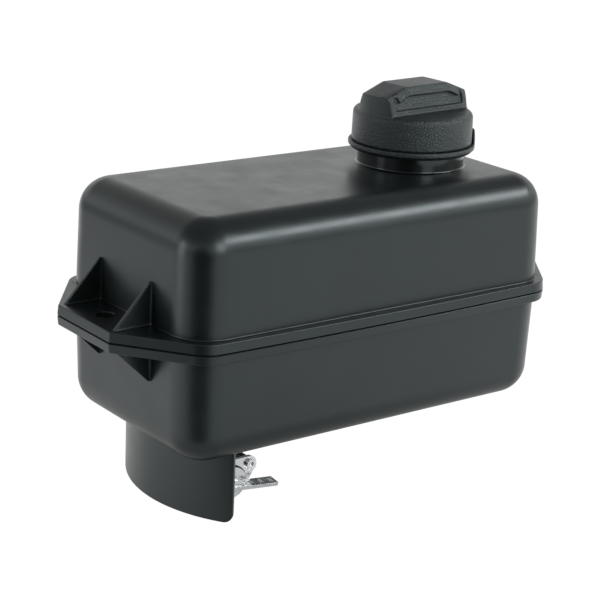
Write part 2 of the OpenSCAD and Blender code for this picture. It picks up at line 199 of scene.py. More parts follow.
def turned(name, profile, centre, steps=128):
    """A profile of (radius, height) turned into a solid; one that starts off the axis is a ring."""
    rings = []
    for radius, height in profile:
        if radius < 1e-6:
            rings.append([(0, 0, height)])
        else:
            rings.append([(x, y, height) for x, y in arc(0, 0, radius, 0, 360, steps)[:-1]])
    piece = skin(name, rings, looped=profile[0][0] > 1e-6)
    piece.data.transform(Matrix.Translation(Vector(centre) * MM))
    return piece


def wrapped(name, points):
    """The smallest convex solid round a set of points."""
    bm = bmesh.new()
    for point in points:
        bm.verts.new(Vector(point) * MM)
    made = bmesh.ops.convex_hull(bm, input=bm.verts)
    spare = [item for item in made["geom_interior"] if isinstance(item, bmesh.types.BMVert)]
    bmesh.ops.delete(bm, geom=spare, context="VERTS")
    mesh = bpy.data.meshes.new(name)
    bm.to_mesh(mesh)
    bm.free()
    piece = set_out(name, mesh)
    face_outwards(piece)
    return piece


def set_down(piece):
    """Applies the piece's modifiers to its mesh."""
    depsgraph = bpy.context.evaluated_depsgraph_get()
    finished = bpy.data.meshes.new_from_object(piece.evaluated_get(depsgraph))
    piece.modifiers.clear()
    piece.data = finished
    return piece


def combined(piece, others, how):
    """Adds the others to a piece, or cuts them out of it."""
    for other in others:
        change = piece.modifiers.new("shape", "BOOLEAN")
        change.operation = how
        change.solver = "EXACT"
        change.object = other
        set_down(piece)
        bpy.data.objects.remove(other)
    return piece


def moulded(piece, skin_mm, passes):
    """An even skin with soft edges, as a mould leaves them."""
    even = piece.modifiers.new("even skin", "REMESH")
    even.mode = "VOXEL"
    even.voxel_size = skin_mm * MM
    soft = piece.modifiers.new("soft edges", "SMOOTH")
    soft.factor = 0.5
    soft.iterations = passes
    return set_down(piece)


def rounded_edges(piece, width_mm, segments=3, angle=40):
    """Rounds every edge that turns by more than an angle, in degrees."""
    edge = piece.modifiers.new("rounded edges", "BEVEL")
    edge.width = width_mm * MM
    edge.segments = segments
    edge.limit_method = "ANGLE"
    edge.angle_limit = math.radians(angle)
    return set_down(piece)


def shaded(piece, material, crease=35):
    """Smooth shading with true flats, sharp past the crease angle, and the finish."""
    piece.data.shade_smooth()
    piece.data.set_sharp_from_angle(angle=math.radians(crease))
    even = piece.modifiers.new("true flats", "WEIGHTED_NORMAL")
    even.keep_sharp = True
    set_down(piece)
    piece.data.materials.clear()
    piece.data.materials.append(material)
    return piece


def rounded_copy(node, edge_mm, material):
    """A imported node's own shape with its edges rounded."""
    piece = set_out(node + "_finished", frame["nodes"][node].data.copy())
    bm = bmesh.new()
    bm.from_mesh(piece.data)
    bmesh.ops.remove_doubles(bm, verts=bm.verts, dist=2e-6)
    bmesh.ops.dissolve_limit(bm, angle_limit=math.radians(1), verts=bm.verts, edges=bm.edges)
    bm.to_mesh(piece.data)
    bm.free()
    return shaded(rounded_edges(piece, edge_mm), material, crease=50)


def moulded_copy(node, skin_mm, material):
    """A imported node's own shape with the soft edges of a moulding."""
    piece = set_out(node + "_moulding", frame["nodes"][node].data.copy())
    face_outwards(piece)
    return shaded(moulded(piece, skin_mm, 2), material, crease=60)


# ---- Node trees ----

def add_node(tree, kind, sockets=None, **settings):
    """One node with its settings; sockets gives an input a value or another node's output."""
    node = tree.nodes.new(kind)
    for key, value in settings.items():
        setattr(node, key, value)
    for key, value in (sockets or {}).items():
        if isinstance(value, bpy.types.NodeSocket):
            tree.links.new(value, node.inputs[key])
        else:
            node.inputs[key].default_value = value
    return node


def linear(hex_colour):
    """An sRGB hex colour as linear RGBA."""
    parts = [int(hex_colour[i:i + 2], 16) / 255 for i in (1, 3, 5)]
    return [p / 12.92 if p <= 0.04045 else ((p + 0.055) / 1.055) ** 2.4 for p in parts] + [1.0]


def finish_tree(name, sockets):
    """A material with one shader whose plain sockets are set, and its tree."""
    material = bpy.data.materials.new(name)
    material.use_nodes = True
    tree = material.node_tree
    tree.nodes.clear()
    shader = add_node(tree, "ShaderNodeBsdfPrincipled", sockets)
    add_node(tree, "ShaderNodeOutputMaterial", {"Surface": shader.outputs["BSDF"]})
    return material, tree, shader


def mottled(tree, place, size_mm, low, high, detail=3.0, roughness=0.55):
    """Noise of a real size, turned into values from low to high."""
    noise = add_node(tree, "ShaderNodeTexNoise",
                     {"Vector": place, "Scale": 1 / (size_mm * MM), "Detail": detail,
                      "Roughness": roughness})
    spread_out = add_node(tree, "ShaderNodeMapRange",
                          {"Value": noise.outputs["Fac"], "From Min": 0.3, "From Max": 0.7,
                           "To Min": low, "To Max": high})
    return spread_out.outputs["Result"]


def plastic(name, dark, light, roughness, grain_mm, grain_depth, ior=1.5, tint="#ffffff"):
    """Moulded plastic: faint flow mottling in the colour, uneven gloss and the mould's grain."""
    flow_mm, gloss_mm = 45, 18
    material, tree, shader = finish_tree(name, {"IOR": ior, "Specular Tint": linear(tint)})
    place = add_node(tree, "ShaderNodeTexCoord").outputs["Object"]
    flow = mottled(tree, place, flow_mm, 0.0, 1.0)
    colour = add_node(tree, "ShaderNodeMix", {"Factor": flow, "A": linear(dark),
                                              "B": linear(light)}, data_type="RGBA")
    tree.links.new(colour.outputs["Result"], shader.inputs["Base Color"])
    gloss = mottled(tree, place, gloss_mm, roughness[0], roughness[1], detail=5.0)
    tree.links.new(gloss, shader.inputs["Roughness"])
    grain = mottled(tree, place, grain_mm, 0.0, 1.0, detail=2.0, roughness=0.6)
    relief = add_node(tree, "ShaderNodeBump", {"Height": grain, "Strength": 1.0,
                                               "Distance": grain_depth * MM})
    tree.links.new(relief.outputs["Normal"], shader.inputs["Normal"])
    return material


def metal(name, dark, light, roughness, stretch, grain_mm, grain_depth):
    """Bare or plated metal: tool marks drawn out along one way, and patches of duller skin."""
    patch_mm = 6
    material, tree, shader = finish_tree(name, {"Metallic": 1.0})
    place = add_node(tree, "ShaderNodeTexCoord").outputs["Object"]
    drawn = add_node(tree, "ShaderNodeMapping", {"Vector": place, "Scale": stretch})
    patches = mottled(tree, place, patch_mm, 0.0, 1.0, detail=4.0)
    colour = add_node(tree, "ShaderNodeMix", {"Factor": patches, "A": linear(dark),
                                              "B": linear(light)}, data_type="RGBA")
    tree.links.new(colour.outputs["Result"], shader.inputs["Base Color"])
    marks = mottled(tree, drawn.outputs["Vector"], grain_mm, 0.0, 1.0, detail=2.0)
    gloss = add_node(tree, "ShaderNodeMapRange", {"Value": marks, "To Min": roughness[0],
                                                  "To Max": roughness[1]})
    tree.links.new(gloss.outputs["Result"], shader.inputs["Roughness"])
    relief = add_node(tree, "ShaderNodeBump", {"Height": marks, "Strength": 1.0,
                                               "Distance": grain_depth * MM})
    tree.links.new(relief.outputs["Normal"], shader.inputs["Normal"])
    return material


COLD = "#effdff"        # black plastic mirrors the room slightly cold

# Satin black polyamide, hot-plate welded: soft reflections and a faint cold tint
SATIN_TANK = plastic("satin_black_polyamide", "#0a0f0f", "#0e1414", (0.29, 0.36), 0.9, 0.004,
                     tint=COLD)
# The neck comes from a polished part of the mould: mirror-like and blacker than the tank
GLOSS_NECK = plastic("gloss_black_polyamide", "#050707", "#080a0a", (0.1, 0.16), 2.5, 0.002,
                     tint=COLD)
# Spark-eroded cap: matt, with soft glints. Its grain of a few tenths of a millimetre is drawn a
# millimetre coarse, or it would not show
GRAINED_CAP = plastic("spark_eroded_black_nylon", "#121718", "#1b2122", (0.28, 0.4), 1.0, 0.3,
                      tint=COLD)
# Natural polyethylene: milky and slightly waxy
NATURAL_PE = plastic("natural_polyethylene", "#d4cfb9", "#e2dec9", (0.4, 0.5), 1.2, 0.01)
# Turned fluoropolymer seats: white and smooth
WHITE_PTFE = plastic("turned_ptfe", "#e6e5df", "#f2f1ec", (0.3, 0.38), 0.6, 0.005, ior=1.38)
# Nitrile rubber: near black, dull
NITRILE = plastic("nitrile_rubber", "#0e0f0f", "#171818", (0.6, 0.75), 0.4, 0.02)
# Glass-filled black nylon of the valve: slightly rough
VALVE_NYLON = plastic("glass_filled_black_nylon", "#0c0f0f", "#121616", (0.4, 0.52), 0.5, 0.03)
# Bright zinc plate on pressed steel: pale, slightly blue, with duller patches
ZINC = metal("bright_zinc_plate", "#cdd0d3", "#e2e4e5", (0.1, 0.2), (1, 1, 1), 3.0, 0.002)
# Turned steel: fine marks
TURNED_STEEL = metal("turned_steel", "#bfc1c3", "#d6d7d8", (0.14, 0.26), (1, 4, 1), 2.0, 0.002)
# Polished ball: nearly a mirror
POLISHED = metal("polished_steel", "#c9cbcc", "#dcdddd", (0.05, 0.1), (1, 1, 1), 2.0, 0.001)
# Turned brass: warm, with a light tarnish
BRASS = metal("turned_brass", "#a8823c", "#c9a458", (0.2, 0.34), (1, 1, 6), 2.0, 0.003)


# ---- Tank shells ----

def wall_quarter(half_l, half_w, corner):
    """A quarter of a wall's outline, from the end's middle to the side's middle."""
    cx, cy = half_l - corner, half_w - corner
    stops = (0, LUG_HALF_W - 2, LUG_HALF_W + 2, cy)
    end = []
    for low, high, count in zip(stops, stops[1:], STRETCHES):
        end += [(half_l, y) for y in spread(low, high, count)]
    bend = arc(cx, cy, corner, 0, 90, STRETCHES[3])[:-1]
    side = [(x, half_w) for x in spread(cx, 0, STRETCHES[4])]
    return end + bend + side + [(0, half_w)]


def flange_quarter(grow):
    """A quarter of the flange's outline, with as many points as a wall's quarter."""
    nx, ny = math.cos(SLANT), math.sin(SLANT)
    knuckle_r = max(0.3, LUG_CORNER_R + grow)
    tip_x = LUG_TIP_X + grow
    tip_y = LUG_HALF_W + grow * (1 - ny) / nx
    knuckle = (tip_x - knuckle_r, tip_y - knuckle_r * (1 - nx) / ny)
    cy = FLANGE_HALF_W - FLANGE_CORNER_R
    cx = (LUG_TIP_X * nx + LUG_HALF_W * ny - FLANGE_CORNER_R - cy * ny) / nx
    bend_r = FLANGE_CORNER_R + grow
    slant = math.degrees(SLANT)
    tip = [(tip_x, y) for y in spread(0, knuckle[1], STRETCHES[0])]
    turn = arc(*knuckle, knuckle_r, 0, slant, STRETCHES[1])
    bend = arc(cx, cy, bend_r, slant, 90, STRETCHES[3])
    run = list(zip(spread(turn[-1][0], bend[0][0], STRETCHES[2]),
                   spread(turn[-1][1], bend[0][1], STRETCHES[2])))
    side = [(x, FLANGE_HALF_W + grow + FLANGE_BOW * (1 - (x / cx) ** 2))
            for x in spread(cx, 0, STRETCHES[4])]
    last = (0, FLANGE_HALF_W + grow + FLANGE_BOW)
    return tip + turn[:-1] + run + bend[:-1] + side + [last]


def full_ring(quarter, z):
    """A whole ring at one height, mirrored from its quarter."""
    half = quarter + [(-x, y) for x, y in reversed(quarter[:-1])]
    rest = [(x, -y) for x, y in reversed(half[1:-1])]
    return [(x, y, z) for x, y in half + rest]


def half_shell(name, side, height, flange_t):
    """One half of the tank as a closed skin, outside and inside; side is 1 above and -1 below."""
    def wall(inset, rise, share=1.0):
        lean = DRAFT * min(rise, height - EDGE_R)
        quarter = wall_quarter(TANK_L / 2 - lean - inset, TANK_W / 2 - lean - inset,
                               CORNER_R - inset)
        return full_ring([(x * share, y * share) for x, y in quarter], SEAM_Z + side * rise)

    def rim(grow, rise):
        return full_ring(flange_quarter(grow), SEAM_Z + side * rise)

    def lid(rise):
        z = SEAM_Z + side * rise
        shares = (0.25, 0.5, 0.7, 0.85, 0.95)
        return [[(0, 0, z)]] + [wall(EDGE_R, rise, share) for share in shares]

    turns = [math.radians(a) for a in range(90, -1, -6)]
    outside = lid(height)
    for a in turns:
        outside.append(wall(EDGE_R * (1 - math.cos(a)), height - EDGE_R * (1 - math.sin(a))))
    outside += [wall(0, rise) for rise in spread(height - EDGE_R, flange_t + FOOT_R, 6)[1:]]
    for a in reversed(turns[::3]):
        outside.append(wall(-FOOT_R * (1 - math.cos(a)), flange_t + FOOT_R * (1 - math.sin(a))))
    for a in reversed(turns[::3]):
        outside.append(rim(FLANGE_LIP * (math.sin(a) - 1) - FLANGE_LEAN,
                           flange_t - FLANGE_LIP * (1 - math.cos(a))))
    outside += [rim(0, LAND + LAND_BREAK), rim(-LAND_BREAK, LAND), rim(-GROOVE, LAND),
                rim(-GROOVE, 0)]
    inner_r = EDGE_R - WALL
    inside = [wall(WALL, rise) for rise in spread(0, height - EDGE_R, 6)]
    for a in reversed(turns):
        inside.append(wall(EDGE_R - inner_r * math.cos(a),
                           height - EDGE_R + inner_r * math.sin(a)))
    inside += reversed(lid(height - WALL))
    return skin(name, outside + inside)


def bolt_cutters():
    """Round cutters for the lug holes, flared where a hole meets the flange's faces."""
    flare = 0.5
    deep = FLANGE_LOW + 1
    high = FLANGE_UP + 1
    profile = [(0, -deep), (BOLT_R + 1 + flare, -deep), (BOLT_R, -FLANGE_LOW + flare),
               (BOLT_R, FLANGE_UP - flare), (BOLT_R + 1 + flare, high), (0, high)]
    return [turned("bolt_cutter", profile, (side * BOLT_X, 0, SEAM_Z), steps=64)
            for side in (-1, 1)]


def gusset(name, side, height, flange_t):
    """One upright gusset at the +X end, centred on Y, with flared feet on the wall and flange."""
    foot_r = 1.0
    sunk = 0.8          # how far it reaches into the wall and the flange
    toe = 0.3           # thickness left at the foot of the slope
    taper = 0.012       # each face leans in by this for each millimetre up
    nose_r = 0.35       # rounding along the slope
    heights = (-sunk, 0.05, 0.2, 0.5, 1.0, 2.5, 6, 10, 15, 20, 24)
    shares = (0.02, 0.06, 0.15, 0.4, 0.7)
    wall_x = TANK_L / 2
    run = LUG_TIP_X - GUSSET_FOOT - wall_x
    rise = height - flange_t

    def flare(distance):
        inside = max(0.0, foot_r - max(distance, 0.0))
        return foot_r - math.sqrt(foot_r ** 2 - inside ** 2)

    rings = []
    for up in [h for h in heights if h < rise - 1] + [rise - 0.6]:
        reach = run * (1 - max(up, 0) / rise) + toe
        start = -DRAFT * (flange_t + up)
        columns = [start - sunk] + [start + (reach - start) * share for share in shares]
        columns += [reach - nose_r, reach - 0.1, reach]
        half = []
        for x in columns:
            thick = GUSSET_T / 2 - taper * max(up, 0) + flare(x - start) + flare(up)
            back = min(1.0, (reach - x) / nose_r)
            thick -= nose_r * (1 - math.sqrt(1 - (1 - back) ** 2)) * (GUSSET_T / 2)
            half.append((wall_x + x, thick))
        z = SEAM_Z + side * (flange_t + up)
        rings.append([(x, t, z) for x, t in half] + [(x, -t, z) for x, t in reversed(half)])
    low_tip = [(wall_x, 0, rings[0][0][2])]
    high_tip = [(rings[-1][3][0], 0, rings[-1][0][2] + side * 0.3)]
    return skin(name, [low_tip] + rings + [high_tip])


def gusset_set_tree():
    """Places a gusset on both sides of the lug at both ends of the tank."""
    tree = bpy.data.node_groups.new("gusset_set", "GeometryNodeTree")
    for name, kind, way in (("Gusset", "Geometry", "INPUT"), ("Spacing", "Float", "INPUT"),
                            ("Finish", "Material", "INPUT"), ("Gussets", "Geometry", "OUTPUT")):
        tree.interface.new_socket(name=name, in_out=way, socket_type="NodeSocket" + kind)
    given = add_node(tree, "NodeGroupInput")
    grid = add_node(tree, "GeometryNodeMeshGrid",
                    {"Size X": 0.0, "Size Y": given.outputs["Spacing"],
                     "Vertices X": 2, "Vertices Y": 2})
    index = add_node(tree, "GeometryNodeInputIndex")
    far_end = add_node(tree, "FunctionNodeCompare", {2: index.outputs[0], 3: 2},
                       data_type="INT", operation="LESS_THAN")
    half_turn = add_node(tree, "ShaderNodeMath", {0: far_end.outputs[0], 1: math.pi},
                         operation="MULTIPLY")
    turn = add_node(tree, "ShaderNodeCombineXYZ", {"Z": half_turn.outputs[0]})
    placed = add_node(tree, "GeometryNodeInstanceOnPoints",
                      {"Points": grid.outputs["Mesh"], "Instance": given.outputs["Gusset"],
                       "Rotation": turn.outputs[0]})
    real = add_node(tree, "GeometryNodeRealizeInstances", {"Geometry": placed.outputs[0]})
    finish = add_node(tree, "GeometryNodeSetMaterial", {"Geometry": real.outputs[0],
                                                        "Material": given.outputs["Finish"]})
    add_node(tree, "NodeGroupOutput", {"Gussets": finish.outputs[0]})
    return tree


def grow_tree(piece, tree, values):
    """Runs a node tree on a piece with its named inputs and keeps the plain mesh."""
    grown = piece.modifiers.new(tree.name, "NODES")
    grown.node_group = tree
    for item in tree.interface.items_tree:
        if item.in_out == "INPUT" and item.name in values:
            grown[item.identifier] = values[item.name]
    return set_down(piece)


def hole_cutter(name, radius, x, y, z):
    """A round cutter that goes well past both faces of a wall at height z."""
    deep = 10
    return turned(name, [(0, -deep), (radius, -deep), (radius, deep), (0, deep)], (x, y, z))


def tank_pieces():
    """Both half shells with their holes, and the four gussets on each."""
    tree = gusset_set_tree()
    spacing = (2 * LUG_HALF_W - GUSSET_T) * MM
    upper = half_shell("upper_half_shell", 1, UPPER_H, FLANGE_UP)
    top, floor = SEAM_Z + UPPER_H, SEAM_Z - LOWER_H
    neck_hole = hole_cutter("neck_cutter", NECK_HOLE_R, FILLER_X, FILLER_Y, top)
    combined(upper, bolt_cutters() + [neck_hole], "DIFFERENCE")
    lower = half_shell("lower_half_shell", -1, LOWER_H, FLANGE_LOW)
    ports = [hole_cutter("outlet_cutter", OUTLET_BORE_R, VALVE_X, VALVE_Y, floor),
             hole_cutter("return_cutter", RETURN_BORE_R, RETURN_X, RETURN_Y, floor)]
    combined(lower, bolt_cutters() + ports, "DIFFERENCE")
    pieces = []
    for shell, side, height, flange_t, node in (
            (upper, 1, GUSSET_UP, FLANGE_UP, "upper_shell"),
            (lower, -1, GUSSET_LOW, FLANGE_LOW, "lower_shell")):
        shaded(shell, SATIN_TANK)
        webs = gusset(node + "_gussets", side, height, flange_t)
        grow_tree(webs, tree, {"Spacing": spacing, "Finish": SATIN_TANK})
        shaded(webs, SATIN_TANK, crease=40)
        pieces += [(shell, node), (webs, node)]
    return pieces


def port_bosses():
    """Thick rings under the floor that hold the threaded inserts."""
    floor = SEAM_Z - LOWER_H
    low = box_mm("lower_shell")[0][2]
    chamfer, lip_r, foot_r = 0.4, 0.8, 2
    pieces = []
    for name, x, y, outer, bore in (
            ("outlet_boss", VALVE_X, VALVE_Y, OUTLET_BOSS_R, OUTLET_BORE_R),
            ("return_boss", RETURN_X, RETURN_Y, RETURN_BOSS_R, RETURN_BORE_R)):
        profile = [(bore, floor + 1), (bore, low + chamfer), (bore + chamfer, low)]
        profile += [(outer - lip_r + r, low + lip_r + z) for r, z in arc(0, 0, lip_r, -90, 0, 4)]
        profile += [(outer + foot_r + r, floor - foot_r + z)
                    for r, z in arc(0, 0, foot_r, 180, 90, 5)]
        profile += [(outer + foot_r, floor + 1)]
        pieces.append((shaded(turned(name, profile, (x, y, 0)), SATIN_TANK), "lower_shell"))
    return pieces


def baffle_ribs():
    """Pairs of upright ribs inside the long walls that hold the baffle."""
    half_gap, half_thick, deep = 4, 1.25, 9
    low, high = -50, -2
    wall_y = TANK_W / 2 - WALL / 2
    pieces = []
    for name, side in (("baffle_ribs_back", 1), ("baffle_ribs_front", -1)):
        blocks = []
        for x in (-half_gap, half_gap):
            corners = [(x + dx, side * y, SEAM_Z + z) for dx in (-half_thick, half_thick)
                       for y in (wall_y - deep, wall_y) for z in (low, high)]
            blocks.append(wrapped("rib", corners))
        ribs = combined(blocks[0], blocks[1:], "UNION")
        ribs.name = name
        rounded_edges(ribs, 0.4, segments=2, angle=30)
        pieces.append((shaded(ribs, SATIN_TANK), "lower_shell"))
    return pieces


# ---- Shield under the outlet end ----

def shield():
    """A flat plate with rounded lower corners, rounded along its edges and bent to a radius."""
    radius = 95.5
    thick = 3.5
    half_angle = math.radians(39)
    corner = 6
    half_arc = radius * half_angle
    sunk = 2.6          # how far it runs up into the tank's floor
    top = SEAM_Z - LOWER_H + sunk
    outline = [(-half_arc, top), (half_arc, top)]
    outline += arc(half_arc - corner, SHIELD_LOW + corner, corner, 0, -90, 8)
    outline += arc(-half_arc + corner, SHIELD_LOW + corner, corner, -90, -180, 8)
    plate = slab("outlet_shield_plate", [(s, 0, z) for s, z in outline],
                 [(s, thick, z) for s, z in outline])
    rounded_edges(plate, 0.9)
    bm = bmesh.new()
    bm.from_mesh(plate.data)
    for s in spread(-half_arc, half_arc, 56)[1:]:
        everything = bm.verts[:] + bm.edges[:] + bm.faces[:]
        bmesh.ops.bisect_plane(bm, geom=everything, plane_co=(s * MM, 0, 0), plane_no=(1, 0, 0))
    centre_x = SHIELD_LEFT + radius
    for vert in bm.verts:
        s, depth, z = vert.co / MM
        turn = s / radius
        out = radius - depth
        vert.co = Vector((centre_x - out * math.cos(turn), -out * math.sin(turn), z)) * MM
    bm.to_mesh(plate.data)
    bm.free()
    face_outwards(plate)
    return [(shaded(plate, SATIN_TANK), "outlet_shield")]


# ---- Filler neck ----

NECK_R = 34.1           # plain part under the cap
PLUG_R = 31             # part that goes into the tank's top
THREAD_ROOT_R = 32.5
BORE_R = 28.6
SEAT_R = 30.1           # shallow recess in the rim


def thread_tree():
    """A ridge wound round Z, from its core radius, rise and turns."""
    tree = bpy.data.node_groups.new("thread_ridge", "GeometryNodeTree")
    for name, kind, way in (("Start", "Geometry", "INPUT"), ("Turns", "Float", "INPUT"),
                            ("Core radius", "Float", "INPUT"), ("Rise", "Float", "INPUT"),
                            ("Ridge radius", "Float", "INPUT"), ("Sides", "Int", "INPUT"),
                            ("Finish", "Material", "INPUT"), ("Thread", "Geometry", "OUTPUT")):
        tree.interface.new_socket(name=name, in_out=way, socket_type="NodeSocket" + kind)
    given = add_node(tree, "NodeGroupInput").outputs
    path = add_node(tree, "GeometryNodeCurveSpiral",
                    {"Resolution": 48, "Rotations": given["Turns"], "Height": given["Rise"],
                     "Start Radius": given["Core radius"], "End Radius": given["Core radius"]})
    ridge = add_node(tree, "GeometryNodeCurvePrimitiveCircle",
                     {"Resolution": given["Sides"], "Radius": given["Ridge radius"]})
    swept = add_node(tree, "GeometryNodeCurveToMesh",
                     {"Curve": path.outputs[0], "Profile Curve": ridge.outputs[0],
                      "Fill Caps": True})
    real = add_node(tree, "GeometryNodeRealizeInstances", {"Geometry": swept.outputs[0]})
    finish = add_node(tree, "GeometryNodeSetMaterial", {"Geometry": real.outputs[0],
                                                        "Material": given["Finish"]})
    add_node(tree, "NodeGroupOutput", {"Thread": finish.outputs[0]})
    return tree


def neck_pieces():
    """The turned neck, and the thread's ridge wound round it."""
    rim = box_mm("filler_neck")[1][2]
    top = SEAM_Z + UPPER_H
    shelf = top + 12        # where the plain part steps in to the thread
    foot_r = 1.2
    profile = [(BORE_R, top - 8), (PLUG_R, top - 8), (PLUG_R, top + 0.01)]
    profile += [(NECK_R + foot_r + r, top + foot_r + z) for r, z in arc(0, 0, foot_r, 270, 180, 5)]
    profile += [(NECK_R, shelf - 0.4), (NECK_R - 0.4, shelf), (THREAD_ROOT_R + 0.5, shelf),
                (THREAD_ROOT_R, shelf + 0.5), (THREAD_ROOT_R, rim - 0.7),
                (THREAD_ROOT_R - 0.7, rim), (SEAT_R + 0.3, rim), (SEAT_R, rim - 0.3),
                (SEAT_R, rim - 1.3), (BORE_R, rim - 1.3)]
    neck = shaded(turned("filler_neck_body", profile, (FILLER_X, FILLER_Y, 0)), GLOSS_NECK)
    ridge = mesh_piece("filler_neck_thread", [], [])
    grow_tree(ridge, thread_tree(),
              {"Turns": 1.1, "Core radius": (THREAD_ROOT_R + 0.1) * MM, "Rise": 6.6 * MM,
               "Ridge radius": 1.3 * MM, "Sides": 6, "Finish": GLOSS_NECK})
    ridge.data.transform(Matrix.Translation(Vector((FILLER_X, FILLER_Y, rim - 8.5)) * MM))
    face_outwards(ridge)
    shaded(ridge, GLOSS_NECK, crease=60)
    return [(neck, "filler_neck"), (ridge, "filler_neck")]


# ---- Cap ----
# The grip is drawn from the cap's axis, with X along it and Y across it, and turned at the end.

COVER_R = 38.6
COVER_HOLLOW_R = 36.6
SHOULDER_Z = COVER_LOW + 20.4
LEDGE_Z = SHOULDER_Z + 3.2      # foot of the recessed panels
GRIP_TURN = math.radians(4)
GRIP_HALF_L = 17.5              # flat top
GRIP_HALF_W = 11.1
LIP_HALF_L = 33                 # lip over the panels
LIP_HALF_W = 14.1
LIP_DROP = 4.6                  # from the flat top down to the lip's edge, beside the flat top
LIP_END_DROP = 10.3             # and at the lip's ends
END_R = 36                      # upper edge of the rounded ends, from the cap's axis
END_HALF_W = 11.5
END_DROP = 6.27                 # from the flat top down to that edge
END_FOOT_R = 37                 # where the ends run into the shoulder
END_FOOT_HALF_W = 16.2
PANEL_HALF_L = 29.5
PANEL_HALF_W = 11.2             # at the panel's top
PANEL_LEAN = 0.24               # a panel leans out by this for each millimetre down
BEYOND = 30                     # well clear of the grip's long sides


def about_cap(points):
    """Points given from the cap's axis, turned with the grip."""
    c, s = math.cos(GRIP_TURN), math.sin(GRIP_TURN)
    return [(FILLER_X + c * x - s * y, FILLER_Y + s * x + c * y, z) for x, y, z in points]


def grip_core():
    """The grip before its panels are cut: two sloping ends, a flat top and steep sides."""
    points = []
    for sx in (-1, 1):
        for sy in (-1, 1):
            points += [(sx * GRIP_HALF_L, sy * GRIP_HALF_W, COVER_TOP),
                       (sx * GRIP_HALF_L, sy * LIP_HALF_W, COVER_TOP - LIP_DROP),
                       (sx * LIP_HALF_L, sy * LIP_HALF_W, COVER_TOP - LIP_END_DROP)]
        for step in range(-6, 7):
            y = step / 6 * END_HALF_W
            points.append((sx * math.sqrt(END_R ** 2 - y ** 2), y, COVER_TOP - END_DROP))
            y = step / 6 * END_FOOT_HALF_W
            points.append((sx * math.sqrt(END_FOOT_R ** 2 - y ** 2), y, SHOULDER_Z - 4))
    return wrapped("grip", about_cap(points))


def grip_hollow():
    """The space moulded out under the grip."""
    points = []
    for sx in (-1, 1):
        for sy in (-1, 1):
            points += [(sx * 15, sy * 8.5, COVER_TOP - 3), (sx * 30, sy * 8.5, COVER_TOP - 10),
                       (sx * 32, sy * 10.5, SHOULDER_Z - 8)]
    return wrapped("grip_hollow", about_cap(points))


def panel_cutter(side):
    """Takes the recessed panel out of one long side and leaves a lip over it."""
    top = COVER_TOP
    half = [(PANEL_HALF_L, LEDGE_Z), (PANEL_HALF_L, top - 5.5), (27, top - 5.5), (26, top - 9),
            (GRIP_HALF_L, top - 5.3)]
    outline = half + [(-x, z) for x, z in reversed(half)]
    near = [(x, side * (PANEL_HALF_W + PANEL_LEAN * (top - 5 - z)), z) for x, z in outline]
    far = [(x, side * BEYOND, z) for x, z in outline]
    return slab("panel_cutter", about_cap(near), about_cap(far))


def scoop_cutter(side):
    """A long round cutter that hollows the foot of the grip under the panel."""
    bottom = SHOULDER_Z + 0.01
    top = LEDGE_Z - 0.6
    deep_y, round_r = 17.5, 1.4
    rings = []
    for x in (-PANEL_HALF_L, PANEL_HALF_L):
        shape = [(side * BEYOND, bottom), (side * BEYOND, top), (side * deep_y, top)]
        shape += [(side * (deep_y - a), bottom + round_r + b)
                  for a, b in arc(0, 0, round_r, 80, -80, 10)]
        rings.append(about_cap([(x, y, z) for y, z in shape]))
    return skin("scoop_cutter", [centre_of(rings[0]), rings[0], rings[1], centre_of(rings[1])])


def cap_cover():
    """A turned cover with the grip on it, hollowed out and softened as one moulding."""
    shoulder_r = 3.6
    lean = 0.25             # the side leans in by this at the shoulder
    break_r = 0.3
    centre = (FILLER_X, FILLER_Y, 0)
    profile = [(0, COVER_LOW), (COVER_R - break_r, COVER_LOW), (COVER_R, COVER_LOW + break_r),
               (COVER_R - lean, SHOULDER_Z - shoulder_r)]
    profile += [(COVER_R - lean - shoulder_r + a, SHOULDER_Z - shoulder_r + b)
                for a, b in arc(0, 0, shoulder_r, 6, 90, 9)]
    profile += [(0, SHOULDER_Z)]
    cover = turned("cap_cover_shell", profile, centre)
    combined(cover, [grip_core()], "UNION")
    cuts = [cutter(side) for cutter in (panel_cutter, scoop_cutter) for side in (-1, 1)]
    combined(cover, cuts, "DIFFERENCE")
    inside = COVER_LOW + 17
    hollow = turned("hollow_cutter", [(0, COVER_LOW - 1), (COVER_HOLLOW_R, COVER_LOW - 1),
                                      (COVER_HOLLOW_R, inside), (0, inside)], centre)
    combined(hollow, [grip_hollow()], "UNION")
    combined(cover, [hollow], "DIFFERENCE")
    moulded(cover, 0.56, 5)
    return [(shaded(cover, GRAINED_CAP, crease=70), "cap_cover")]


# ---- Tether ring ----

